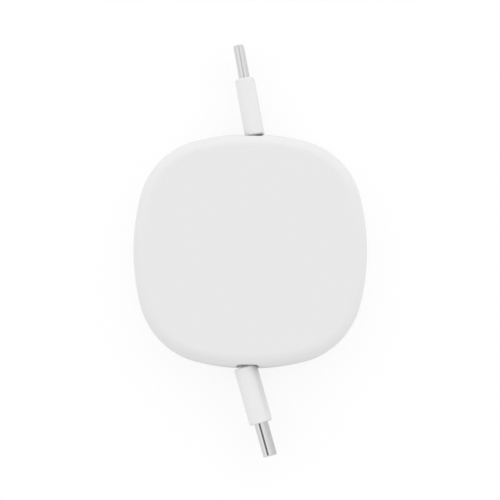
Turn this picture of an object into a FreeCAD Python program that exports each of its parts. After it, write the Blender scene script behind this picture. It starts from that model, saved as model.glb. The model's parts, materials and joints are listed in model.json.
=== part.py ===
import FreeCAD, Part
import math
import os

import Sketcher

# A retractable charging cable: a flat cable, folded in the middle, is wound double on a
# sprung reel inside a white squircle case, and its two plugs dock in opposite sides.
# The case lies on its back: +Z is up through the front, +Y points along the upper plug, and
# the origin is the centre of the back face. Lengths are millimetres, angles degrees.

Vector = FreeCAD.Vector
doc = FreeCAD.newDocument("RetractableCable")
sheet = doc.addObject("Spreadsheet::Sheet", "Sizes")

SIZES = {
    # case: a squircle of four long side arcs and four corner arcs
    "case_width": 56.0,
    "side_radius": 53.0,
    "corner_radius": 18.2,
    "case_height": 14.5,
    "edge_round": 3.0,
    "back_round": 1.5,
    "wall": 2.0,
    "panel": 1.5,
    "lip_depth": 1.2,
    "lip_gap": 0.1,
    "boss_width": 3.0,
    "peg_width": 1.6,
    "peg_length": 3.0,
    # docks for the plugs' tails, in the upper and the lower side, and the cable exits in them
    "dock_offset": 0.65,
    "dock_width": 5.2,
    "dock_play": 0.4,
    "dock_depth": 1.3,
    "dock_corner": 1.0,
    "dock_lip": 0.2,
    "mouth_offset": 1.3,
    "mouth_width": 3.4,
    "mouth_play": 0.5,
    # reel on its post
    "post_radius": 2.3,
    "post_slit": 0.6,
    "collar_radius": 4.0,
    "running_gap": 0.1,
    "fit_gap": 0.05,
    "reel_room": 2.5,
    "reel_clear": 0.5,
    "flange": 2.0,
    "cap_flange": 1.2,
    "cap_spigot": 0.5,
    "hub_radius": 7.6,
    "hub_wall": 1.2,
    "web": 1.4,
    # flat spiral spring in the hub
    "spring_thick": 0.2,
    "spring_width": 4.0,
    "spring_pitch": 1.3,
    "spring_hook": 1.3,
    # ball that locks the reel
    "ball_diameter": 2.0,
    "ball_gap": 0.1,
    "ball_sink": 0.25,
    "rail_width": 1.0,
    "track_radius": 13.0,
    "lock_travel": 1.8,
    "lock_count": 4,
    # flat cable and its coil
    "cable_thick": 1.3,
    "cable_width": 4.0,
    "cable_play": 0.3,
    "cable_edge": 0.35,
    "coil_room": 2.7,
    "lead_gap": 0.3,
    "lead_run": 3.0,
    "lead_root": 2.8,
    # plugs: how each lies in its dock, its tail's middle above the dock's floor
    "tail_offset": 1.15,
    "tail_stand": 1.2,
    "lean_angle_a": 10.2,
    "lean_angle_b": 15.7,
    "roll_angle_a": 3.0,
    "roll_angle_b": 9.6,
    # plugs: moulded grip
    "mould_thick": 4.55,
    "mould_width": 10.8,
    "mould_length": 13.9,
    "mould_corner": 2.1,
    "mould_round": 0.25,
    # plugs: steel nose, contact carrier and latch
    "shell_width": 8.25,
    "shell_thick": 2.4,
    "shell_wall": 0.25,
    "shell_lip": 0.2,
    "shell_root": 3.6,
    "nose_length": 8.2,
    "carrier_recess": 0.3,
    "carrier_root": 0.8,
    "tongue_width": 6.9,
    "tongue_thick": 0.9,
    "tongue_depth": 5.6,
    "contact_width": 0.25,
    "contact_thick": 0.1,
    "contact_pitch": 0.5,
    "contact_length": 4.8,
    "contact_bend": 1.0,
    "contact_rise": 0.15,
    "latch_thick": 0.3,
    "latch_arm": 0.2,
    "latch_hook": 0.25,
    "latch_bar": 0.6,
    "latch_gap": 0.1,
    # plugs: circuit card and its shield
    "card_thick": 0.8,
    "card_width": 7.0,
    "card_length": 5.6,
    "can_width": 8.6,
    "can_thick": 2.9,
    "can_wall": 0.2,
    "can_length": 6.8,
}

# Loaded positions of the twelve places in each contact row.
CONTACTS_FRONT = (1, 4, 5, 6, 7, 9, 12)
CONTACTS_BACK = (1, 4, 5, 9, 12)

for row, (alias, value) in enumerate(SIZES.items(), start=1):
    sheet.set(f"A{row}", alias)
    sheet.set(f"B{row}", str(value))
    sheet.setAlias(f"B{row}", alias)
doc.recompute()


class Size:
    """A length or an angle: its value, and the sheet expression that gives that value."""

    def __init__(self, value, text):
        self.value = value
        self.text = text

    def __add__(self, other):
        other = as_size(other)
        return Size(self.value + other.value, f"({self.text} + {other.text})")

    def __sub__(self, other):
        other = as_size(other)
        return Size(self.value - other.value, f"({self.text} - {other.text})")

    def __mul__(self, other):
        other = as_size(other)
        return Size(self.value * other.value, f"({self.text} * {other.text})")

    def __truediv__(self, other):
        other = as_size(other)
        return Size(self.value / other.value, f"({self.text} / {other.text})")

    def __neg__(self):
        return Size(-self.value, f"(-{self.text})")


def as_size(number):
    return number if isinstance(number, Size) else Size(float(number), repr(float(number)))


def cell(alias):
    return Size(float(sheet.get(alias)), f"Sizes.{alias}")


def sine(angle):
    return Size(math.sin(math.radians(angle.value)), f"sin({angle.text} * 1deg)")


def cosine(angle):
    return Size(math.cos(math.radians(angle.value)), f"cos({angle.text} * 1deg)")


# Radii and heights that several pieces share: the reel fills the case, and the coil the reel.
reel_radius = cell("case_width") / 2 - cell("wall") - cell("reel_room")
coil_radius = reel_radius - cell("coil_room")
height = cell("case_height")
parting = height / 2
front_inside = height - cell("panel")
channel_half = cell("cable_width") / 2 + cell("cable_play")
reel_bottom = parting - channel_half - cell("flange")
channel_bottom = parting - channel_half
channel_top = parting + channel_half
cap_top = channel_top + cell("cap_flange")
reel_bore = cell("post_radius") + cell("fit_gap")
cavity_radius = cell("hub_radius") - cell("hub_wall")
web_top = reel_bottom + cell("web")
spigot_bottom = channel_top - cell("cap_spigot")
spring_bottom = (web_top + spigot_bottom - cell("spring_width")) / 2

# The ball's own room: half its groove's width, its middle height and its guide.
ball_room = cell("ball_diameter") / 2 + cell("ball_gap")
rail_top = reel_bottom - cell("ball_sink")
ball_middle = rail_top
guide_bottom = ball_middle - ball_room
groove_depth = ball_middle + ball_room - reel_bottom


# Sketches, each fully set by cells of the sheet.

def plane_of(body, role):
    return next(f for f in body.Origin.OriginFeatures if f.Role == role)


def new_sketch(body, name, role, offset):
    sketch = body.newObject("Sketcher::SketchObject", name)
    sketch.AttachmentSupport = (plane_of(body, role), [""])
    sketch.MapMode = "FlatFace"
    offset = as_size(offset)
    sketch.AttachmentOffset = FreeCAD.Placement(Vector(0, 0, offset.value), FreeCAD.Rotation())
    sketch.setExpression("AttachmentOffset.Base.z", offset.text)
    return sketch


def set_size(sketch, constraint, size):
    index = sketch.addConstraint(constraint)
    sketch.setExpression(f"Constraints[{index}]", size.text)


def place_point(sketch, geometry, point, x, y):
    """Ties a point to x and y from the origin; a plain 0 puts it on that axis."""
    for kind, axis, size in (("DistanceX", -2, x), ("DistanceY", -1, y)):
        if isinstance(size, Size):
            rule = Sketcher.Constraint(kind, -1, 1, geometry, point, size.value)
            set_size(sketch, rule, size)
        else:
            sketch.addConstraint(Sketcher.Constraint("PointOnObject", geometry, point, axis))


def set_radius(sketch, geometry, radius):
    set_size(sketch, Sketcher.Constraint("Radius", geometry, radius.value), radius)


def add_polygon(sketch, corners):
    first = sketch.GeometryCount
    points = [Vector(as_size(x).value, as_size(y).value) for x, y in corners]
    count = len(points)
    for i in range(count):
        sketch.addGeometry(Part.LineSegment(points[i], points[(i + 1) % count]))
    for i in range(count):
        rule = Sketcher.Constraint("Coincident", first + i, 2, first + (i + 1) % count, 1)
        sketch.addConstraint(rule)
    for i, (x, y) in enumerate(corners):
        place_point(sketch, first + i, 1, x, y)


def polygon(body, name, role, corners, offset=0):
    sketch = new_sketch(body, name, role, offset)
    add_polygon(sketch, corners)
    return sketch


def squares(body, name, centres, width, offset):
    sketch = new_sketch(body, name, "XY_Plane", offset)
    half = width / 2
    for x, y in centres:
        add_polygon(sketch, [(x - half, y - half), (x + half, y - half),
                             (x + half, y + half), (x - half, y + half)])
    return sketch


def rectangle(body, name, role, low, high, offset=0):
    corners = [low, (high[0], low[1]), high, (low[0], high[1])]
    return polygon(body, name, role, corners, offset)


def disc(body, name, radius, offset):
    sketch = new_sketch(body, name, "XY_Plane", offset)
    sketch.addGeometry(Part.Circle(Vector(), Vector(0, 0, 1), radius.value))
    place_point(sketch, 0, 3, 0, 0)
    set_radius(sketch, 0, radius)
    return sketch


def arc_of(middle, radius, start, end):
    circle = Part.Circle(middle, Vector(0, 0, 1), radius)
    return Part.ArcOfCircle(circle, start, end)


def slot(body, name, role, first, second, radius, offset=0):
    """A straight slot with round ends of that radius about two centres."""
    sketch = new_sketch(body, name, role, offset)
    ends = [Vector(as_size(x).value, as_size(y).value) for x, y in (first, second)]
    along = (ends[1] - ends[0]).normalize()
    side = Vector(along.y, -along.x) * radius.value
    turn = math.atan2(side.y, side.x)
    sketch.addGeometry(arc_of(ends[1], radius.value, turn, turn + math.pi))
    sketch.addGeometry(Part.LineSegment(ends[1] - side, ends[0] - side))
    sketch.addGeometry(arc_of(ends[0], radius.value, turn + math.pi, turn + 2 * math.pi))
    sketch.addGeometry(Part.LineSegment(ends[0] + side, ends[1] + side))
    for i in range(4):
        sketch.addConstraint(Sketcher.Constraint("Tangent", i, 2, (i + 1) % 4, 1))
    place_point(sketch, 0, 3, *second)
    place_point(sketch, 2, 3, *first)
    set_radius(sketch, 0, radius)
    sketch.addConstraint(Sketcher.Constraint("Equal", 0, 2))
    return sketch


def add_squircle(sketch, inset):
    """The case outline drawn in by inset: long side arcs joined by corner arcs."""
    first = sketch.GeometryCount
    reach = cell("side_radius") - cell("case_width") / 2
    side = cell("side_radius") - inset
    corner = cell("corner_radius") - inset
    span = side.value - corner.value
    middle = (math.sqrt(2 * span**2 - reach.value**2) - reach.value) / 2
    half_angle = math.atan2(middle, middle + reach.value)
    for quarter in range(4):
        turn = quarter * math.pi / 2
        back = Vector(-math.cos(turn), -math.sin(turn)) * reach.value
        sketch.addGeometry(arc_of(back, side.value, turn - half_angle, turn + half_angle))
        diagonal = turn + math.pi / 4
        hub = Vector(math.cos(diagonal), math.sin(diagonal)) * middle * math.sqrt(2)
        last = turn + math.pi / 2 - half_angle
        sketch.addGeometry(arc_of(hub, corner.value, turn + half_angle, last))
    for i in range(8):
        rule = Sketcher.Constraint("Tangent", first + i, 2, first + (i + 1) % 8, 1)
        sketch.addConstraint(rule)
        set_radius(sketch, first + i, corner if i % 2 else side)
    centres = ((-reach, 0), (0, -reach), (reach, 0), (0, reach))
    for quarter, (x, y) in enumerate(centres):
        place_point(sketch, first + 2 * quarter, 3, x, y)


def squircle(body, name, insets, offset):
    sketch = new_sketch(body, name, "XY_Plane", offset)
    for inset in insets:
        add_squircle(sketch, as_size(inset))
    return sketch


# Features.

def new_body(label):
    body = doc.addObject("PartDesign::Body", label)
    body.Label = label
    return body


def feature(body, kind, name, sketch, length, turned):
    made = body.newObject(f"PartDesign::{kind}", name)
    made.Profile = sketch
    made.Reversed = turned
    made.setExpression("Length", length.text)
    body.Tip = made
    return made


def pad(body, name, sketch, length, turned=False):
    return feature(body, "Pad", name, sketch, as_size(length), turned)


def pocket(body, name, sketch, length, turned=False):
    return feature(body, "Pocket", name, sketch, as_size(length), turned)


def dress_up(body, kind, name, wanted, setting, size):
    """Works the edges of the body so far that wanted accepts."""
    doc.recompute()
    base = body.Tip
    edges = [f"Edge{i}" for i, edge in enumerate(base.Shape.Edges, start=1) if wanted(edge)]
    made = body.newObject(f"PartDesign::{kind}", name)
    made.Base = (base, edges)
    made.setExpression(setting, as_size(size).text)
    body.Tip = made
    return made


def fillet(body, name, radius, wanted):
    return dress_up(body, "Fillet", name, wanted, "Radius", radius)


def chamfer(body, name, size, wanted):
    return dress_up(body, "Chamfer", name, wanted, "Size", size)


NEAR = 1e-4


def lies_at(axis, size):
    """Accepts edges that lie in the plane where that axis has that value."""
    level = as_size(size).value

    def test(edge):
        box = edge.BoundBox
        low, high = getattr(box, f"{axis}Min"), getattr(box, f"{axis}Max")
        return abs(low - level) < NEAR and abs(high - level) < NEAR

    return test


def runs_along(direction):
    """Accepts straight edges in that direction."""

    def test(edge):
        if edge.Curve.TypeId != "Part::GeomLine":
            return False
        return edge.tangentAt(edge.FirstParameter).cross(direction).Length < NEAR

    return test


# Case.

boss_inside = (reel_radius + cell("reel_clear")) / math.sqrt(2)
boss_place = boss_inside + cell("boss_width") / 2
boss_centres = [(x, y) for x in (boss_place, -boss_place) for y in (boss_place, -boss_place)]


def cut_docks(body):
    """Sinks a dock for each plug's tail into the side, rounds its corners, cuts the cable's way
    through its floor and breaks its rim."""
    side = cell("case_width") / 2
    half_dock = cell("dock_width") / 2
    half_tall = cell("mould_width") / 2 + cell("dock_play")
    mouth_run = (cell("cable_width") - cell("mouth_width")) / 2 + cell("mouth_play")
    for name, sign in (("Upper", 1), ("Lower", -1)):
        middle = cell("dock_offset") * sign
        dock = rectangle(
            body, f"{name}DockOutline", "XZ_Plane", (middle - half_dock, parting - half_tall),
            (middle + half_dock, parting + half_tall), (cell("dock_depth") - side) * sign
        )
        pocket(body, f"{name}Dock", dock, cell("dock_depth") * 2, turned=sign < 0)
    outward = runs_along(Vector(0, 1, 0))
    at_top, at_bottom = lies_at("Z", parting + half_tall), lies_at("Z", parting - half_tall)
    fillet(
        body, "DockCorners", cell("dock_corner"),
        lambda e: outward(e) and (at_top(e) or at_bottom(e))
    )
    for name, sign in (("Upper", 1), ("Lower", -1)):
        middle = cell("mouth_offset") * sign
        mouth = slot(
            body, f"{name}MouthOutline", "XZ_Plane", (middle, parting - mouth_run),
            (middle, parting + mouth_run), cell("mouth_width") / 2, (cell("wall") * 2 - side) * sign
        )
        pocket(body, f"{name}Mouth", mouth, cell("wall") * 3, turned=sign < 0)
    reach = (side - cell("dock_depth") / 2).value
    across_dock = half_dock.value + NEAR

    def on_rim(edge):
        """Edges of a dock on the outer face, clear of the parting plane."""
        box = edge.BoundBox
        middle = cell("dock_offset").value * (1 if box.YMin > 0 else -1)
        inside_dock = max(middle - box.XMin, box.XMax - middle) < across_dock
        outer = min(abs(box.YMin), abs(box.YMax)) > reach and box.YMin * box.YMax > 0
        flat = box.ZLength < NEAR and abs(box.ZMin - parting.value) < NEAR
        return inside_dock and outer and not flat

    chamfer(body, "DockRims", cell("dock_lip"), on_rim)


def rear_cover():
    body = new_body("rear_cover")
    pad(body, "Block", squircle(body, "Outline", [0], 0), parting)
    fillet(body, "BackEdge", cell("back_round"), lies_at("Z", 0))
    inner = squircle(body, "Inside", [cell("wall")], parting)
    pocket(body, "Hollow", inner, parting - cell("panel"))
    rebate = squircle(body, "RebateOutline", [cell("wall") / 2], parting)
    pocket(body, "Rebate", rebate, cell("lip_depth"))
    root = cell("panel") / 2
    collar = disc(body, "CollarCircle", cell("collar_radius"), root)
    pad(body, "Collar", collar, reel_bottom - cell("running_gap") - root)
    post = disc(body, "PostCircle", cell("post_radius"), root)
    post_top = front_inside - cell("running_gap")
    pad(body, "Post", post, post_top - root)
    half_slit = cell("post_slit") / 2
    across = cell("post_radius") * 2
    slit = rectangle(
        body, "SlitOutline", "XY_Plane", (-across, -half_slit), (across, half_slit), post_top
    )
    pocket(body, "Slit", slit, post_top - spring_bottom + cell("running_gap"))
    bosses = squares(body, "BossOutlines", boss_centres, cell("boss_width"), root)
    pad(body, "Bosses", bosses, parting - root)
    socket = cell("peg_width") + cell("fit_gap") * 2
    sockets = squares(body, "SocketOutlines", boss_centres, socket, parting)
    pocket(body, "Sockets", sockets, cell("peg_length") + cell("running_gap"))
    side = ball_room + cell("rail_width")
    near = cell("track_radius") - side
    far = cell("track_radius") + cell("lock_travel") + side
    rails = rectangle(body, "RailOutline", "XY_Plane", (near, -side), (far, side), root)
    pad(body, "BallRails", rails, rail_top - root)
    guide = slot(
        body, "GuideOutline", "XY_Plane", (cell("track_radius"), 0),
        (cell("track_radius") + cell("lock_travel"), 0), ball_room, rail_top
    )
    pocket(body, "BallGuide", guide, rail_top - guide_bottom)
    cut_docks(body)
    return body


def front_cover():
    body = new_body("front_cover")
    pad(body, "Block", squircle(body, "Outline", [0], parting), parting)
    fillet(body, "FrontEdge", cell("edge_round"), lies_at("Z", height))
    inner = squircle(body, "Inside", [cell("wall")], parting)
    pocket(body, "Hollow", inner, parting - cell("panel"), turned=True)
    reach = cell("lip_depth") - cell("lip_gap")
    insets = [cell("wall") / 2 + cell("lip_gap"), cell("wall")]
    tongue = squircle(body, "TongueOutline", insets, parting - reach)
    pad(body, "Tongue", tongue, reach + cell("panel") / 2)
    bosses = squares(body, "BossOutlines", boss_centres, cell("boss_width"), parting)
    pad(body, "Bosses", bosses, front_inside - parting + cell("panel") / 2)
    peg_end = parting - cell("peg_length")
    pegs = squares(body, "PegOutlines", boss_centres, cell("peg_width"), peg_end)
    pad(body, "Pegs", pegs, cell("peg_length") + cell("panel") / 2)
    seat = cap_top + cell("running_gap")
    ring = disc(body, "SeatCircle", cell("collar_radius"), seat)
    pad(body, "PostSeat", ring, front_inside - seat + cell("panel") / 2)
    bore = disc(body, "SeatBoreCircle", reel_bore, seat)
    pocket(body, "PostBore", bore, front_inside - seat, turned=True)
    cut_docks(body)
    return body


# Reel, its cap and what it carries.

def reel():
    body = new_body("reel")
    inner_track = cell("track_radius") - ball_room
    outer_track = cell("track_radius") + ball_room
    groove_top = reel_bottom + groove_depth
    section = polygon(
        body, "Section", "XZ_Plane",
        [
            (reel_bore, reel_bottom),
            (inner_track, reel_bottom),
            (inner_track, groove_top),
            (outer_track, groove_top),
            (outer_track, reel_bottom),
            (reel_radius, reel_bottom),
            (reel_radius, channel_bottom),
            (cell("hub_radius"), channel_bottom),
            (cell("hub_radius"), channel_top),
            (cavity_radius, channel_top),
            (cavity_radius, web_top),
            (reel_bore, web_top),
        ],
    )
    turned = body.newObject("PartDesign::Revolution", "Turned")
    turned.Profile = section
    turned.ReferenceAxis = (section, ["V_Axis"])
    turned.Angle = 360
    body.Tip = turned
    far = cell("track_radius") + cell("lock_travel")
    notch = slot(
        body, "LockOutline", "XY_Plane", (cell("track_radius"), 0), (far, 0), ball_room,
        reel_bottom,
    )
    cut = pocket(body, "LockPocket", notch, groove_depth, turned=True)
    doc.recompute()
    ring = body.newObject("PartDesign::PolarPattern", "LockPockets")
    ring.Originals = [cut]
    ring.Axis = (plane_of(body, "Z_Axis"), [""])
    ring.Angle = 360
    ring.setExpression("Occurrences", cell("lock_count").text)
    body.Tip = ring
    half = cell("post_slit") / 2
    hook_end = cavity_radius + cell("hub_wall") / 2
    hook_start = cavity_radius - cell("hub_wall") / 2
    slit = rectangle(
        body, "HookOutline", "XY_Plane", (-hook_end, -half), (-hook_start, half), channel_top
    )
    pocket(body, "HookSlot", slit, channel_top - web_top)
    return body


def reel_cap():
    body = new_body("reel_cap")
    spigot = cavity_radius - cell("fit_gap")
    section = polygon(
        body, "Section", "XZ_Plane",
        [
            (reel_bore, spigot_bottom),
            (spigot, spigot_bottom),
            (spigot, channel_top),
            (reel_radius, channel_top),
            (reel_radius, cap_top),
            (reel_bore, cap_top),
        ],
    )
    turned = body.newObject("PartDesign::Revolution", "Turned")
    turned.Profile = section
    turned.ReferenceAxis = (section, ["V_Axis"])
    turned.Angle = 360
    body.Tip = turned
    return body


def cylinder(name, radius, length, bottom):
    made = doc.addObject("Part::Cylinder", name)
    made.setExpression("Radius", radius.text)
    made.setExpression("Height", length.text)
    made.setExpression("Placement.Base.z", bottom.text)
    return made


def cable_coil():
    """The wound turns, as the one round body that they fill on the hub."""
    bottom = parting - cell("cable_width") / 2
    outer = cylinder("CoilOutside", coil_radius, cell("cable_width"), bottom)
    inside = cell("hub_radius") + cell("running_gap")
    inner = cylinder("CoilInside", inside, cell("cable_width"), bottom)
    coil = doc.addObject("Part::Cut", "cable_coil")
    coil.Base = outer
    coil.Tool = inner
    coil.Label = "cable_coil"
    return coil


def lock_ball():
    ball = doc.addObject("Part::Sphere", "lock_ball")
    ball.setExpression("Radius", (cell("ball_diameter") / 2).text)
    ball.setExpression("Placement.Base.x", cell("track_radius").text)
    ball.setExpression("Placement.Base.z", ball_middle.text)
    ball.Label = "lock_ball"
    return ball


def turned_by(angle):
    return Vector(math.cos(angle), math.sin(angle), 0)


def arc_edge(middle, radius, start, end):
    """An arc about middle from start to end, in radians, either way round."""
    ends = [middle + turned_by(angle) * radius for angle in (start, (start + end) / 2, end)]
    return Part.Arc(*ends).toShape()


def band(stretches, thick, width, bottom):
    """A flat strip on edge that follows arcs (middle, radius, start, end) and lines
    (from, to), given one after the other. Its faces lie half of thick on each side."""
    left, right = [], []
    for stretch in stretches:
        if len(stretch) == 4:
            middle, radius, start, end = stretch
            to_left = -thick / 2 if end > start else thick / 2
            left.append(arc_edge(middle, radius + to_left, start, end))
            right.append(arc_edge(middle, radius - to_left, start, end))
        else:
            start, end = stretch
            along = (end - start).normalize()
            side = Vector(-along.y, along.x, 0) * (thick / 2)
            left.append(Part.makeLine(start + side, end + side))
            right.append(Part.makeLine(start - side, end - side))
    first = Part.makeLine(left[0].valueAt(left[0].FirstParameter),
                          right[0].valueAt(right[0].FirstParameter))
    last = Part.makeLine(left[-1].valueAt(left[-1].LastParameter),
                         right[-1].valueAt(right[-1].LastParameter))
    outline = Part.Wire(Part.__sortEdges__([first, *left, *right, last]))
    strip = Part.Face(outline).extrude(Vector(0, 0, width))
    strip.translate(Vector(0, 0, bottom))
    return strip


def shape_feature(label, shape):
    made = doc.addObject("Part::Feature", label)
    made.Label = label
    made.Shape = shape
    return made


def power_spring():
    """Half circles about two centres, each a quarter pitch from the axis, make the spiral.
    Its inner tail sits in the post's slit and its outer tail in the hub's."""
    thick, width = cell("spring_thick").value, cell("spring_width").value
    pitch = cell("spring_pitch").value
    hook = cell("spring_hook").value
    outside = cavity_radius.value - thick / 2 - cell("fit_gap").value
    step = pitch / 2
    innermost = (cell("post_radius") + cell("running_gap")).value + thick / 2
    halves = int((outside - step - innermost) / step)
    stretches = []
    for i in range(halves + 1):
        radius = outside - step / 2 - (halves - i) * step
        upper = (halves - i) % 2 == 0
        middle = Vector(-step / 2 if upper else step / 2, 0, 0)
        start = 0 if upper else math.pi
        stretches.append((middle, radius, start, start + math.pi))
    inner_middle, inner_radius, inner_start, _ = stretches[0]
    inner_end = inner_middle + turned_by(inner_start) * inner_radius
    bottom = spring_bottom.value
    spiral = band(stretches, thick, width, bottom)
    toward = -1 if inner_end.x > 0 else 1
    inner_tail = Part.makeBox(
        abs(inner_end.x) - hook + thick / 2, thick, width,
        Vector(hook if toward < 0 else inner_end.x - thick / 2, -thick / 2, bottom)
    )
    reach = cavity_radius.value + cell("hub_wall").value / 2 - cell("running_gap").value
    outer_tail = Part.makeBox(
        reach - outside + thick, thick, width, Vector(-reach, -thick / 2, bottom)
    )
    return shape_feature("power_spring", spiral.fuse([inner_tail, outer_tail]).removeSplitter())


# Plugs. Each is built along +Y from the middle of its tail, then turned and set in its dock.

tip = cell("mould_length") + cell("nose_length")
shell_back = cell("mould_length") - cell("shell_root")
can_front = shell_back - cell("running_gap")
can_back = can_front - cell("can_length")
carrier_back = shell_back - cell("carrier_root")
carrier_front = tip - cell("carrier_recess")
tongue_back = carrier_front - cell("tongue_depth")
latch_width = cell("tongue_width") + cell("latch_arm") * 2
latch_front = tongue_back - cell("latch_gap")
latch_back = latch_front - cell("latch_bar")


def plug_place(side, turn, roll_way):
    """Where a plug lies: its tail partly in the dock, leaning and rolled a little."""
    out = cell("case_width") / 2 - cell("dock_depth") + cell("tail_stand")
    tail = Vector(cell("tail_offset").value, out.value, 0)
    about = FreeCAD.Rotation(Vector(0, 0, 1), turn)
    tail = about.multVec(tail) + Vector(0, 0, parting.value)
    spin = FreeCAD.Rotation(Vector(0, 0, 1), cell(f"lean_angle_{side}").value)
    roll = cell(f"roll_angle_{side}").value * roll_way
    tilt = FreeCAD.Rotation(Vector(0, 1, 0), roll)
    return FreeCAD.Placement(tail, about * spin * tilt)


def along_slot(body, name, width, thick, start):
    """A slot section across the plug, its round ends at the narrow sides."""
    half = (width - thick) / 2
    return slot(body, name, "XZ_Plane", (0, -half), (0, half), thick / 2, -as_size(start))


def along_rectangle(body, name, width, thick, start):
    low, high = (-thick / 2, -width / 2), (thick / 2, width / 2)
    return rectangle(body, name, "XZ_Plane", low, high, -as_size(start))


def plug_mould(label, roll):
    body = new_body(label)
    length = cell("mould_length")
    section = along_rectangle(body, "Section", cell("mould_width"), cell("mould_thick"), 0)
    pad(body, "Grip", section, length, turned=True)
    fillet(body, "LongEdges", cell("mould_corner"), runs_along(Vector(0, 1, 0)))
    at_tail, at_front = lies_at("Y", 0), lies_at("Y", length)
    chamfer(body, "EndEdges", cell("mould_round"), lambda e: at_tail(e) or at_front(e))
    gap = cell("fit_gap") * 2
    nose = along_slot(
        body, "NoseOutline", cell("shell_width") + gap, cell("shell_thick") + gap, can_front
    )
    pocket(body, "NoseHole", nose, length - can_front)
    room = along_rectangle(
        body, "CanOutline", cell("can_width") + gap, cell("can_thick") + gap,
        can_back - cell("fit_gap")
    )
    pocket(body, "CanRoom", room, cell("can_length") + gap)
    cable_room = cell("cable_thick") + gap + cell("cable_width") * sine(roll)
    entry = along_rectangle(body, "EntryOutline", cell("cable_width") + gap, cable_room, 0)
    pocket(body, "CableEntry", entry, can_back)
    return body


def plug_shell(label):
    body = new_body(label)
    width, thick = cell("shell_width"), cell("shell_thick")
    section = along_slot(body, "Section", width, thick, shell_back)
    pad(body, "Tube", section, tip - shell_back, turned=True)
    chamfer(body, "NoseLip", cell("shell_lip"), lies_at("Y", tip))
    wall = cell("shell_wall") * 2
    inside = along_slot(body, "InsideOutline", width - wall, thick - wall, shell_back)
    pocket(body, "Inside", inside, tip - shell_back)
    return body


def contact_carrier(label):
    body = new_body(label)
    trim = (cell("shell_wall") + cell("fit_gap")) * 2
    width, thick = cell("shell_width") - trim, cell("shell_thick") - trim
    section = along_slot(body, "Section", width, thick, carrier_back)
    pad(body, "Block", section, carrier_front - carrier_back, turned=True)
    tongue = along_rectangle(
        body, "TongueOutline", cell("tongue_width"), cell("tongue_thick"), tongue_back
    )
    pocket(body, "TongueSlot", tongue, cell("tongue_depth"))
    gap = cell("fit_gap")
    start = latch_back - cell("latch_gap")
    channel = along_rectangle(
        body, "LatchOutline", latch_width + gap, cell("latch_thick") + gap, start
    )
    pocket(body, "LatchChannel", channel, carrier_front - start)
    return body


def latch_plate(label):
    """A sprung fork: a bar behind the tongue slot, and an arm with a hook down each side."""
    body = new_body(label)
    out, inn = latch_width / 2, cell("tongue_width") / 2
    hook = inn - cell("latch_hook")
    front = carrier_front - cell("carrier_recess")
    hook_tip = front - cell("latch_hook")
    hook_root = hook_tip - cell("latch_hook") * 2
    corners = [(latch_back, -out), (front, -out), (front, -inn), (hook_tip, -hook),
               (hook_root, -inn), (latch_front, -inn), (latch_front, inn), (hook_root, inn),
               (hook_tip, hook), (front, inn), (front, out), (latch_back, out)]
    outline = polygon(body, "Fork", "YZ_Plane", corners, -cell("latch_thick") / 2)
    pad(body, "Plate", outline, cell("latch_thick"))
    return body


def contacts(label):
    """Gold beams in two rows on the walls of the tongue slot, each with a raised bend."""
    thick, width = cell("contact_thick").value, cell("contact_width").value
    wall = cell("tongue_thick").value / 2
    front = (carrier_front - cell("carrier_recess") * 2).value
    back = front - cell("contact_length").value
    bend, rise = cell("contact_bend").value, cell("contact_rise").value
    outline = [(wall, back), (wall, front), (wall - thick, front), (wall - rise, front - bend),
               (wall - thick, front - bend * 2), (wall - thick, back)]
    row_middle = (CONTACTS_FRONT[0] + CONTACTS_FRONT[-1]) / 2
    beams = []
    for side, places in ((1, CONTACTS_FRONT), (-1, CONTACTS_BACK)):
        points = [Vector(side * x, y, -width / 2) for x, y in outline]
        beam = Part.Face(Part.makePolygon([*points, points[0]])).extrude(Vector(0, 0, width))
        for place in places:
            copy = beam.copy()
            copy.translate(Vector(0, 0, (place - row_middle) * cell("contact_pitch").value))
            beams.append(copy)
    return shape_feature(label, Part.Compound(beams))


def paddle_card(label):
    body = new_body(label)
    start = carrier_back - cell("card_length")
    board = along_rectangle(body, "Outline", cell("card_width"), cell("card_thick"), start)
    pad(body, "Board", board, cell("card_length"), turned=True)
    return body


def shield_can(label):
    body = new_body(label)
    section = along_rectangle(body, "Section", cell("can_width"), cell("can_thick"), can_back)
    pad(body, "Tube", section, cell("can_length"), turned=True)
    wall = cell("can_wall") * 2
    inside = along_rectangle(
        body, "InsideOutline", cell("can_width") - wall, cell("can_thick") - wall, can_back
    )
    pocket(body, "Inside", inside, cell("can_length"))
    return body


def lead(label, place):
    """The cable from where it leaves the coil, round one bend and straight into the grip."""
    thick = cell("cable_thick").value
    tail = place.Base
    ahead = place.Rotation.multVec(Vector(0, 1, 0))
    right = Vector(ahead.y, -ahead.x, 0)
    bend_end = Vector(tail.x, tail.y, 0) - ahead * cell("lead_run").value
    coil = (coil_radius + cell("lead_gap")).value + thick / 2
    off_coil = bend_end.Length**2 - coil**2
    radius = off_coil / (2 * (coil - bend_end.dot(right)))
    middle = bend_end + right * radius
    start = math.atan2(-middle.y, -middle.x)
    end = math.atan2(-right.y, -right.x)
    while end > start:
        end -= 2 * math.pi
    root = Vector(tail.x, tail.y, 0) + ahead * cell("lead_root").value
    width = cell("cable_width").value
    bottom = parting.value - width / 2
    strip = band([(middle, radius, start, end), (bend_end, root)], thick, width, bottom)
    edges = [e for e in strip.Edges if e.BoundBox.ZLength < NEAR and e.Length > thick * 1.01]
    turn = math.degrees(start - end)
    print(f"{label}: bend radius {radius:.2f} mm through {turn:.0f} degrees")
    return shape_feature(label, strip.makeChamfer(cell("cable_edge").value, edges))


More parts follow.
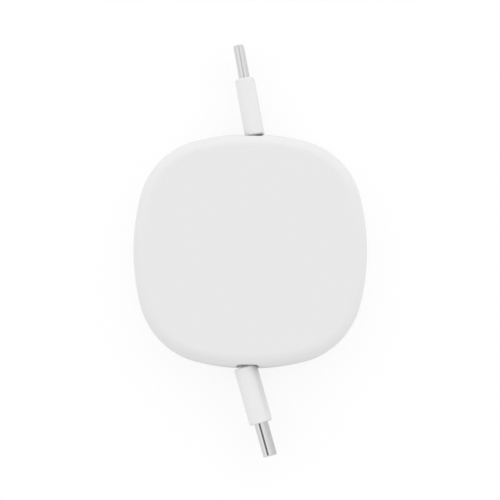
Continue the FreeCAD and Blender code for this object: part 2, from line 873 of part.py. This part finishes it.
def plug(side, turn, roll_way):
    place = plug_place(side, turn, roll_way)
    pieces = [
        plug_mould(f"plug_grip_{side}", cell(f"roll_angle_{side}")),
        plug_shell(f"plug_shell_{side}"),
        contact_carrier(f"contact_carrier_{side}"),
        contacts(f"contacts_{side}"),
        latch_plate(f"latch_plate_{side}"),
        paddle_card(f"paddle_card_{side}"),
        shield_can(f"shield_can_{side}"),
    ]
    for piece in pieces:
        piece.Placement = place
    return [*pieces, lead(f"cable_lead_{side}", place)]


def check_and_write(pieces):
    doc.recompute()
    for item in doc.Objects:
        if "Invalid" in item.State or "Error" in item.State:
            raise RuntimeError(f"{item.Label} failed: {item.State}")
    os.makedirs("parts", exist_ok=True)
    for piece in pieces:
        shape = piece.Shape
        if shape.isNull() or not shape.isValid() or not shape.Solids:
            raise RuntimeError(f"{piece.Label} has no valid solid")
        shape.exportStep(f"parts/{piece.Label}.step")
        print(f"{piece.Label}: {len(shape.Solids)} solid, {shape.Volume:.2f} mm3")


def build():
    pieces = [front_cover(), rear_cover(), reel(), reel_cap(), power_spring(), cable_coil(),
              lock_ball()]
    pieces += plug("a", 0, -1)
    pieces += plug("b", 180, 1)
    check_and_write(pieces)


build()
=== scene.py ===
import json
import math

import bmesh
import bpy
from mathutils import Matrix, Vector


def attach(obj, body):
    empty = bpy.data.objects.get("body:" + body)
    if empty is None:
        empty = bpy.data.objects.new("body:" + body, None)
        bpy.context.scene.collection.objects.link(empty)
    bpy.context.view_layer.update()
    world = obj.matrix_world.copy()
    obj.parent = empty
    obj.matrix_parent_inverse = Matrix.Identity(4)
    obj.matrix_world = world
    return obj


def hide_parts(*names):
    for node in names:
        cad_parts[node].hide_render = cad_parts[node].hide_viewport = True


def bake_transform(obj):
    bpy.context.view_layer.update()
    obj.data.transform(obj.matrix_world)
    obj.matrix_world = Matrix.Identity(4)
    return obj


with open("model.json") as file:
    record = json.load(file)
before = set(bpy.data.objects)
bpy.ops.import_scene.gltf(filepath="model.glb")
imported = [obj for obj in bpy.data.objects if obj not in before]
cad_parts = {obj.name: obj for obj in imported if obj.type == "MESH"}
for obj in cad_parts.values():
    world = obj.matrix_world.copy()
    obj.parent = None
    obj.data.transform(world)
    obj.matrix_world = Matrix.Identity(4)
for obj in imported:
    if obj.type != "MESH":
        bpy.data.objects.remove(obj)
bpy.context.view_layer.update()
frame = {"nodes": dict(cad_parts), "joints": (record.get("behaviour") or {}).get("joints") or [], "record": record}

mm = 0.001
cadNodes = frame["nodes"]
print("frame loaded,", len(cadNodes), "nodes")


# small helpers for node trees

def addNode(tree, kind, settings=None, inputs=None):
    node = tree.nodes.new(kind)
    for key, value in (settings or {}).items():
        setattr(node, key, value)
    for key, value in (inputs or {}).items():
        node.inputs[key].default_value = value
    return node


def newMaterial(name, surface):
    mat = bpy.data.materials.new(name)
    mat.use_nodes = True
    shader = mat.node_tree.nodes["Principled BSDF"]
    for key, value in surface.items():
        shader.inputs[key].default_value = value
    return mat, mat.node_tree, shader


def grey(level):
    return (level, level, level, 1.0)


def addBump(tree, shader, height, strength, distance):
    bump = addNode(tree, "ShaderNodeBump", None, {"Strength": strength, "Distance": distance})
    tree.links.new(height, bump.inputs["Height"])
    tree.links.new(bump.outputs["Normal"], shader.inputs["Normal"])


def addRange(tree, source, low, high):
    spread = addNode(tree, "ShaderNodeMapRange", None, {"To Min": low, "To Max": high})
    tree.links.new(source, spread.inputs["Value"])
    return spread.outputs["Result"]


def addMath(tree, operation, first, second):
    node = addNode(tree, "ShaderNodeMath", {"operation": operation})
    for socket, value in zip(node.inputs, (first, second)):
        if isinstance(value, float):
            socket.default_value = value
        else:
            tree.links.new(value, socket)
    return node.outputs["Value"]


# moulded plastics: spark-eroded grain, and gloss that wanders a little

plastic = {"ior": 1.49, "grainDetail": 3.0, "grainRoughness": 0.6, "grainDepth": 0.25,
           "cloudDetail": 2.0, "glossSpread": 0.04}


def mouldedPlastic(name, look):
    mat, tree, shader = newMaterial(name, {
        "Base Color": look["color"],
        "Specular IOR Level": look["specular"],
        "IOR": plastic["ior"],
    })
    coords = addNode(tree, "ShaderNodeTexCoord")
    grain = addNode(tree, "ShaderNodeTexNoise", None, {
        "Scale": 1 / look["grain"],
        "Detail": plastic["grainDetail"],
        "Roughness": plastic["grainRoughness"],
    })
    tree.links.new(coords.outputs["Object"], grain.inputs["Vector"])
    depth = look["grain"] * plastic["grainDepth"]
    addBump(tree, shader, grain.outputs["Fac"], look["grainStrength"], depth)
    cloud = addNode(tree, "ShaderNodeTexNoise", None, {
        "Scale": 1 / look["cloud"],
        "Detail": plastic["cloudDetail"],
    })
    tree.links.new(coords.outputs["Object"], cloud.inputs["Vector"])
    smoothest = look["roughness"] - plastic["glossSpread"]
    roughest = look["roughness"] + plastic["glossSpread"]
    gloss = addRange(tree, cloud.outputs["Fac"], smoothest, roughest)
    tree.links.new(gloss, shader.inputs["Roughness"])
    return mat


# the line where the covers meet: a dark band of painted shade in the case colour, standing for the shade in the
# gap between the covers

colorMix = {"a": 6, "b": 7, "result": 2}  # a Mix node's colour sockets, after those for other kinds


def paintSeamShade(mat, look, line):
    tree = mat.node_tree
    coords = addNode(tree, "ShaderNodeTexCoord")
    split = addNode(tree, "ShaderNodeSeparateXYZ")
    tree.links.new(coords.outputs["Object"], split.inputs["Vector"])
    above = addMath(tree, "SUBTRACT", split.outputs["Z"], line["height"])
    away = addMath(tree, "ABSOLUTE", above, 0.0)
    clear = addNode(tree, "ShaderNodeMapRange", None, {
        "From Min": line["core"], "From Max": line["reach"]})
    tree.links.new(away, clear.inputs["Value"])
    # flat faces inside the case lie at the same height and get no painted shade
    facing = addNode(tree, "ShaderNodeSeparateXYZ")
    tree.links.new(coords.outputs["Normal"], facing.inputs["Vector"])
    level = addMath(tree, "ABSOLUTE", facing.outputs["Z"], 0.0)
    flatUnshaded = addNode(tree, "ShaderNodeMapRange", None, {
        "From Min": line["flatFrom"], "From Max": line["flatAt"]})
    tree.links.new(level, flatUnshaded.inputs["Value"])
    either = addMath(tree, "MAXIMUM", clear.outputs["Result"], flatUnshaded.outputs["Result"])
    # painted shade: the darker seam colour is mixed into the case colour along the meeting line
    tone = addNode(tree, "ShaderNodeMix", {"data_type": "RGBA"})
    tree.links.new(either, tone.inputs["Factor"])
    tone.inputs[colorMix["a"]].default_value = line["color"]
    tone.inputs[colorMix["b"]].default_value = look["color"]
    shader = tree.nodes["Principled BSDF"]
    tree.links.new(tone.outputs[colorMix["result"]], shader.inputs["Base Color"])


# painted shade along the line where the covers meet: its height, its width and its dark colour
seamPaintedShade = {"height": 7.25 * mm, "core": 0.03 * mm, "reach": 0.12 * mm, "flatFrom": 0.9, "flatAt": 0.99,
        "color": grey(0.30)}
caseLook = {"color": grey(0.79), "roughness": 0.42, "specular": 0.4, "grain": 0.14 * mm,
            "grainStrength": 0.12, "cloud": 9 * mm}
gripLook = {"color": grey(0.81), "roughness": 0.52, "specular": 0.4, "grain": 0.10 * mm,
            "grainStrength": 0.15, "cloud": 5 * mm}
reelLook = {"color": (0.74, 0.74, 0.72, 1), "roughness": 0.38, "specular": 0.5, "grain": 0.3 * mm,
            "grainStrength": 0.05, "cloud": 12 * mm}
jacketLook = {"color": grey(0.78), "roughness": 0.58, "specular": 0.35, "grain": 0.08 * mm,
              "grainStrength": 0.2, "cloud": 4 * mm}
carrierLook = {"color": grey(0.018), "roughness": 0.5, "specular": 0.4, "grain": 0.06 * mm,
               "grainStrength": 0.1, "cloud": 2 * mm}
cardLook = {"color": (0.012, 0.10, 0.035, 1), "roughness": 0.35, "specular": 0.5, "grain": 0.2 * mm,
            "grainStrength": 0.1, "cloud": 2 * mm}

caseWhite = mouldedPlastic("caseWhite", caseLook)
paintSeamShade(caseWhite, caseLook, seamPaintedShade)
gripWhite = mouldedPlastic("gripWhite", gripLook)
reelWhite = mouldedPlastic("reelWhite", reelLook)
jacketWhite = mouldedPlastic("jacketWhite", jacketLook)
carrierBlack = mouldedPlastic("carrierBlack", carrierLook)
cardGreen = mouldedPlastic("cardGreen", cardLook)


# metals: drawn or rolled, with marks along one direction

metal = {"markDetail": 4.0, "markDepth": 0.2, "glossSpread": 0.06}


def drawnMetal(name, look, along):
    mat, tree, shader = newMaterial(name, {
        "Base Color": look["color"],
        "Metallic": 1.0,
        "Specular Tint": grey(look["grazing"]),
    })
    coords = addNode(tree, "ShaderNodeTexCoord")
    turn = addNode(tree, "ShaderNodeMapping")
    turn.inputs["Rotation"].default_value = (0, 0, -math.atan2(along.y, along.x))
    turn.inputs["Scale"].default_value = (look["stretch"], 1, 1)
    tree.links.new(coords.outputs["Object"], turn.inputs["Vector"])
    marks = addNode(tree, "ShaderNodeTexNoise", None, {
        "Scale": 1 / look["mark"],
        "Detail": metal["markDetail"],
    })
    tree.links.new(turn.outputs["Vector"], marks.inputs["Vector"])
    depth = look["mark"] * metal["markDepth"]
    addBump(tree, shader, marks.outputs["Fac"], look["markStrength"], depth)
    smoothest = look["roughness"] - metal["glossSpread"]
    roughest = look["roughness"] + metal["glossSpread"]
    gloss = addRange(tree, marks.outputs["Fac"], smoothest, roughest)
    tree.links.new(gloss, shader.inputs["Roughness"])
    return mat


noseLook = {"color": (0.75, 0.75, 0.755, 1), "grazing": 0.80, "roughness": 0.13, "mark": 0.09 * mm,
            "stretch": 0.05, "markStrength": 0.06}
stripLook = {"color": (0.36, 0.37, 0.40, 1), "grazing": 0.80, "roughness": 0.3, "mark": 0.12 * mm,
             "stretch": 0.3, "markStrength": 0.1}
ballLook = {"color": (0.62, 0.62, 0.64, 1), "grazing": 0.80, "roughness": 0.12, "mark": 0.3 * mm,
            "stretch": 1.0, "markStrength": 0.02}
goldLook = {"color": (0.86, 0.60, 0.22, 1), "grazing": 0.95, "roughness": 0.24, "mark": 0.05 * mm,
            "stretch": 0.2, "markStrength": 0.05}
canLook = {"color": (0.60, 0.60, 0.58, 1), "grazing": 0.80, "roughness": 0.34, "mark": 0.15 * mm,
           "stretch": 0.4, "markStrength": 0.1}

joints = {joint["name"]: joint for joint in frame["joints"]}
plugAxis = {side: Vector(joints[f"plug_{side}_pull"]["axis"]).normalized() for side in "ab"}
acrossCase = Vector((1, 0, 0))
springStrip = drawnMetal("springStrip", stripLook, acrossCase)
ballSteel = drawnMetal("ballSteel", ballLook, acrossCase)


def paint(nodeName, mat):
    mesh = cadNodes[nodeName].data
    mesh.materials.clear()
    mesh.materials.append(mat)


for nodeName in ("reel", "reel_cap"):
    paint(nodeName, reelWhite)
paint("power_spring", springStrip)
paint("lock_ball", ballSteel)
for side in "ab":
    paint(f"contact_carrier_{side}", carrierBlack)
    paint(f"contacts_{side}", drawnMetal(f"contactGold_{side}", goldLook, plugAxis[side]))
    paint(f"latch_plate_{side}", drawnMetal(f"latchSteel_{side}", noseLook, plugAxis[side]))
    paint(f"paddle_card_{side}", cardGreen)
    paint(f"shield_can_{side}", drawnMetal(f"canSteel_{side}", canLook, plugAxis[side]))
print("materials on the CAD nodes")


# moulded and drawn pieces with their sharp edges broken, as tools leave them: same form, soft rims

coverRims = {"round": 0.14 * mm, "segments": 3, "fromAngle": math.radians(40),
             "merge": 0.045 * mm, "joinFlats": True}
gripRims = {"round": 0.18 * mm, "segments": 3, "fromAngle": math.radians(30),
            "merge": 0.001 * mm, "joinFlats": True}
noseRims = {"round": 0.05 * mm, "segments": 2, "fromAngle": math.radians(30),
            "merge": 0.001 * mm, "joinFlats": False}
flatFaces = {"angle": math.radians(0.5), "weight": 100}


def softened(name, nodeName, rims, mat):
    work = bmesh.new()
    work.from_mesh(cadNodes[nodeName].data)
    bmesh.ops.remove_doubles(work, verts=work.verts, dist=rims["merge"])
    if rims["joinFlats"]:  # not on a nose, where the ring round the mouth would close over
        bmesh.ops.dissolve_limit(work, angle_limit=flatFaces["angle"],
                                 verts=work.verts, edges=work.edges)
    sharp = [edge for edge in work.edges
             if edge.is_manifold and edge.calc_face_angle() > rims["fromAngle"]]
    bmesh.ops.bevel(work, geom=sharp, offset=rims["round"], offset_type="OFFSET",
                    segments=rims["segments"], profile=0.5, affect="EDGES", clamp_overlap=True)
    for face in work.faces:
        face.smooth = True
        face.material_index = 0
    mesh = bpy.data.meshes.new(name)
    work.to_mesh(mesh)
    work.free()
    mesh.materials.append(mat)
    piece = bpy.data.objects.new(name, mesh)
    bpy.context.scene.collection.objects.link(piece)
    # keeps broad faces flat beside the rims
    flats = piece.modifiers.new("flats", "WEIGHTED_NORMAL")
    flats.weight = flatFaces["weight"]
    return piece


def dressed(name, nodeName, rims, mat, body):
    piece = softened(name, nodeName, rims, mat)
    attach(piece, body)
    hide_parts(nodeName)


dressed("frontShell", "front_cover", coverRims, caseWhite, "case")
dressed("rearShell", "rear_cover", coverRims, caseWhite, "case")
for side in "ab":
    noseSteel = drawnMetal(f"noseSteel_{side}", noseLook, plugAxis[side])
    plug = f"plug_{side}"
    dressed(f"softGrip_{side}", f"plug_grip_{side}", gripRims, gripWhite, plug)
    dressed(f"drawnNose_{side}", f"plug_shell_{side}", noseRims, noseSteel, plug)
print("case, grips and noses with soft rims")


# flat cable: one Geometry Nodes tree sweeps its round-edged section along any path

cable = {"thick": 1.3 * mm, "width": 4.0 * mm, "edge": 0.55 * mm, "turnGap": 0.05 * mm,
         "coilOuter": 20.8 * mm, "coilInner": 7.7 * mm, "leadGap": 0.3 * mm,
         "straight": 3.0 * mm, "root": 2.8 * mm, "plugLength": 22.1 * mm,
         "climbTurn": math.radians(70), "edgeSteps": 5, "bendSteps": 24, "runSteps": 40,
         "turnSteps": 60}
reelMiddle = Vector(joints["spool_spin"]["pos_m"])


def flatCableTree(mat):
    tree = bpy.data.node_groups.new("flatCable", "GeometryNodeTree")
    tree.interface.new_socket("Path", in_out="INPUT", socket_type="NodeSocketGeometry")
    for name in ("Width", "Thick", "Edge"):
        tree.interface.new_socket(name, in_out="INPUT", socket_type="NodeSocketFloat")
    tree.interface.new_socket("Cable", in_out="OUTPUT", socket_type="NodeSocketGeometry")
    start = addNode(tree, "NodeGroupInput")
    end = addNode(tree, "NodeGroupOutput")
    upright = addNode(tree, "GeometryNodeSetCurveNormal", {"mode": "Z_UP"})
    section = addNode(tree, "GeometryNodeCurvePrimitiveQuadrilateral")
    rounded = addNode(tree, "GeometryNodeFilletCurve", {"mode": "POLY"}, {"Count": cable["edgeSteps"]})
    sweep = addNode(tree, "GeometryNodeCurveToMesh", None, {"Fill Caps": True})
    finish = addNode(tree, "GeometryNodeSetMaterial", None, {"Material": mat})
    smooth = addNode(tree, "GeometryNodeSetShadeSmooth")
    link = tree.links.new
    link(start.outputs["Path"], upright.inputs["Curve"])
    link(start.outputs["Thick"], section.inputs["Width"])
    link(start.outputs["Width"], section.inputs["Height"])
    link(section.outputs["Curve"], rounded.inputs["Curve"])
    link(start.outputs["Edge"], rounded.inputs["Radius"])
    link(upright.outputs["Curve"], sweep.inputs["Curve"])
    link(rounded.outputs["Curve"], sweep.inputs["Profile Curve"])
    link(sweep.outputs["Mesh"], smooth.inputs["Geometry"])
    link(smooth.outputs["Geometry"], finish.inputs["Geometry"])
    link(finish.outputs["Geometry"], end.inputs["Cable"])
    return tree


def socketId(tree, name):
    return next(s.identifier for s in tree.interface.items_tree if s.name == name)


def sweptCable(name, strands, tree):
    curve = bpy.data.curves.new(name + "Path", "CURVE")
    curve.dimensions = "3D"
    for points in strands:
        spline = curve.splines.new("POLY")
        spline.points.add(len(points) - 1)
        for point, place in zip(spline.points, points):
            point.co = (*place, 1)
    path = bpy.data.objects.new(name + "Path", curve)
    bpy.context.scene.collection.objects.link(path)
    sweep = path.modifiers.new("sweep", "NODES")
    sweep.node_group = tree
    sweep[socketId(tree, "Width")] = cable["width"]
    sweep[socketId(tree, "Thick")] = cable["thick"]
    sweep[socketId(tree, "Edge")] = cable["edge"]
    depsgraph = bpy.context.evaluated_depsgraph_get()
    mesh = bpy.data.meshes.new_from_object(path.evaluated_get(depsgraph))
    made = bpy.data.objects.new(name, mesh)
    bpy.context.scene.collection.objects.link(made)
    bpy.data.objects.remove(path)
    return made


def arcPoints(middle, radius, first, last, count):
    steps = [first + (last - first) * i / count for i in range(count + 1)]
    return [middle + radius * Vector((math.cos(a), math.sin(a), 0)) for a in steps]


def leadPoints(tail, ahead):
    # leaves the coil on a tangent, takes one bend the other way, then runs straight into the grip
    right = Vector((ahead.y, -ahead.x, 0))
    bendEnd = tail - ahead * cable["straight"]
    flat = Vector((bendEnd.x, bendEnd.y, 0))
    coil = cable["coilOuter"] + cable["leadGap"] + cable["thick"] / 2
    radius = (flat.length_squared - coil**2) / (2 * (coil - flat.dot(right)))
    middle = bendEnd + right * radius
    first = math.atan2(-middle.y, -middle.x)
    last = math.atan2(-right.y, -right.x)
    while last > first:
        last -= 2 * math.pi
    root = tail + ahead * cable["root"]
    steps = cable["runSteps"]
    run = [bendEnd.lerp(root, i / steps) for i in range(1, steps + 1)]
    return arcPoints(middle, radius, first, last, cable["bendSteps"]) + run, bendEnd


def coilPoints(leave):
    # one strand, from the hub out to where its lead leaves, with a short climb at the end
    pitch = 2 * (cable["thick"] + cable["turnGap"])
    inner = cable["coilInner"] + cable["thick"] / 2
    outer = cable["coilOuter"] - cable["thick"] / 2
    turns = (outer - inner) / pitch
    reach = math.hypot(leave.x, leave.y)
    last = math.atan2(leave.y, leave.x) - cable["turnGap"] / reach
    climb = reach - outer
    count = int(turns * cable["turnSteps"])
    points = []
    for i in range(count + 1):
        back = 2 * math.pi * turns * (1 - i / count)
        share = max(0, 1 - back / cable["climbTurn"])
        radius = outer - pitch * back / (2 * math.pi) + climb * share**2 * (3 - 2 * share)
        angle = last - back
        points.append(Vector((radius * math.cos(angle), radius * math.sin(angle), reelMiddle.z)))
    return points


cableTree = flatCableTree(jacketWhite)
mounts = {mount["name"]: mount for mount in frame["record"]["mounts"]}
coilStrands = []
for side in "ab":
    ahead = plugAxis[side]
    tail = Vector(mounts[f"plug_{side}_end"]["pos_m"]) - ahead * cable["plugLength"]
    points, bendEnd = leadPoints(tail, ahead)
    coilStrands.append(coilPoints(points[0]))
    lead = sweptCable(f"flatLead_{side}", [points], cableTree)
    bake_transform(lead)
    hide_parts(f"cable_lead_{side}")

coil = sweptCable("woundCable", coilStrands, cableTree)
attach(coil, "spool")
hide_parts("cable_coil")
print("cable swept: two leads and the wound turns")


# studio: a white tent, brighter on the photo's upper side, with the camera's slit in its roof

studio = {"tent": 1.07, "upperGain": 0.26, "slitLevel": 0.14, "slitReach": (0.41, 0.114, 0),
          "slitTurn": (0, 0, math.radians(13)), "slitSoft": 0.25, "horizon": 0.72,
          "horizonTop": 0.5, "floor": 0.90, "floorSeen": 0.78, "floorMirrored": 0.1,
          "floorGlow": 1.03, "floorHalf": 3.0, "floorDrop": 0.02 * mm}


def mirrorRays(tree):
    # tells rays from the camera, and rays that come off a mirror or through glass, from the rest
    path = addNode(tree, "ShaderNodeLightPath")
    glossy = path.outputs["Is Glossy Ray"]
    through = path.outputs["Is Transmission Ray"]
    return path.outputs["Is Camera Ray"], addMath(tree, "MAXIMUM", glossy, through)


def tentWorld():
    world = bpy.data.worlds.new("tent")
    bpy.context.scene.world = world
    world.use_nodes = True
    tree = world.node_tree
    tree.nodes.remove(tree.nodes["Background"])
    coords = addNode(tree, "ShaderNodeTexCoord")
    toward = coords.outputs["Generated"]
    split = addNode(tree, "ShaderNodeSeparateXYZ")
    tree.links.new(toward, split.inputs["Vector"])
    sides = addNode(tree, "ShaderNodeMapRange", None, {
        "From Min": -1.0, "To Min": 1 - studio["upperGain"], "To Max": 1 + studio["upperGain"]})
    tree.links.new(split.outputs["Y"], sides.inputs["Value"])
    spread = addNode(tree, "ShaderNodeMapping", {"vector_type": "TEXTURE"}, {
        "Rotation": studio["slitTurn"], "Scale": studio["slitReach"]})
    tree.links.new(toward, spread.inputs["Vector"])
    away = addNode(tree, "ShaderNodeVectorMath", {"operation": "LENGTH"})
    tree.links.new(spread.outputs["Vector"], away.inputs[0])
    slit = addNode(tree, "ShaderNodeMapRange", {"interpolation_type": "SMOOTHSTEP"}, {
        "From Min": 1 - studio["slitSoft"], "From Max": 1 + studio["slitSoft"],
        "To Min": studio["slitLevel"], "To Max": 1.0})
    tree.links.new(away.outputs["Value"], slit.inputs["Value"])
    cloth = addMath(tree, "MULTIPLY", sides.outputs["Result"], studio["tent"])
    lit = addMath(tree, "MULTIPLY", cloth, slit.outputs["Result"])
    light = addNode(tree, "ShaderNodeBackground", None, {"Color": grey(1)})
    tree.links.new(lit, light.inputs["Strength"])
    skirt = addNode(tree, "ShaderNodeMapRange", None, {
        "From Max": studio["horizonTop"], "To Min": studio["horizon"], "To Max": 1.0})
    tree.links.new(split.outputs["Z"], skirt.inputs["Value"])
    mirrored = addNode(tree, "ShaderNodeBackground", None, {"Color": grey(1)})
    shown = addMath(tree, "MULTIPLY", skirt.outputs["Result"], slit.outputs["Result"])
    tree.links.new(shown, mirrored.inputs["Strength"])
    white = addNode(tree, "ShaderNodeBackground", None, {"Color": grey(1), "Strength": 1.0})
    camera, mirror = mirrorRays(tree)
    inner = addNode(tree, "ShaderNodeMixShader")
    outer = addNode(tree, "ShaderNodeMixShader")
    tree.links.new(mirror, inner.inputs["Fac"])
    tree.links.new(light.outputs["Background"], inner.inputs[1])
    tree.links.new(mirrored.outputs["Background"], inner.inputs[2])
    tree.links.new(camera, outer.inputs["Fac"])
    tree.links.new(inner.outputs["Shader"], outer.inputs[1])
    tree.links.new(white.outputs["Background"], outer.inputs[2])
    tree.links.new(outer.outputs["Shader"], tree.nodes["World Output"].inputs["Surface"])


def studioFloor():
    # seen directly it is white paper with a faint shadow; for other rays it is plain pale paper
    mat = bpy.data.materials.new("studioFloor")
    mat.use_nodes = True
    tree = mat.node_tree
    tree.nodes.remove(tree.nodes["Principled BSDF"])
    paper = addNode(tree, "ShaderNodeBsdfDiffuse", None, {"Color": grey(studio["floor"])})
    glow = addNode(tree, "ShaderNodeEmission", None, {
        "Color": grey(1), "Strength": studio["floorGlow"]})
    camera, mirror = mirrorRays(tree)
    seen = addMath(tree, "MULTIPLY", camera, studio["floorSeen"])
    mirrored = addMath(tree, "MULTIPLY", mirror, studio["floorMirrored"])
    share = addMath(tree, "MAXIMUM", seen, mirrored)
    blend = addNode(tree, "ShaderNodeMixShader")
    tree.links.new(share, blend.inputs["Fac"])
    tree.links.new(paper.outputs["BSDF"], blend.inputs[1])
    tree.links.new(glow.outputs["Emission"], blend.inputs[2])
    tree.links.new(blend.outputs["Shader"], tree.nodes["Material Output"].inputs["Surface"])
    half = studio["floorHalf"]
    mesh = bpy.data.meshes.new("studioFloor")
    corners = [(-half, -half, 0), (half, -half, 0), (half, half, 0), (-half, half, 0)]
    mesh.from_pydata(corners, [], [(0, 1, 2, 3)])
    mesh.materials.append(mat)
    floor = bpy.data.objects.new("studioFloor", mesh)
    floor.location.z = -studio["floorDrop"]
    bpy.context.scene.collection.objects.link(floor)


tentWorld()
studioFloor()

# camera: over the far end of the lower plug, as the docks and noses show, and aimed at the case

photo = {"width": 119.9 * mm, "lens": 240.0, "sensor": 36.0, "foot": -53.6 * mm,
         "aim": Vector((-0.06, 0.10, 11.5)) * mm, "clipStart": 0.01}
camera = bpy.data.cameras.new("photoCamera")
camera.lens = photo["lens"]
camera.sensor_width = photo["sensor"]
camera.clip_start = photo["clipStart"]
cameraObject = bpy.data.objects.new("photoCamera", camera)
distance = photo["width"] * photo["lens"] / photo["sensor"]
lean = math.asin((photo["aim"].y - photo["foot"]) / distance)
cameraObject.location = photo["aim"] + distance * Vector((0, -math.sin(lean), math.cos(lean)))
cameraObject.rotation_euler.x = lean
bpy.context.scene.collection.objects.link(cameraObject)
bpy.context.scene.camera = cameraObject
bpy.context.scene.view_settings.view_transform = "Standard"
print("studio and camera set")
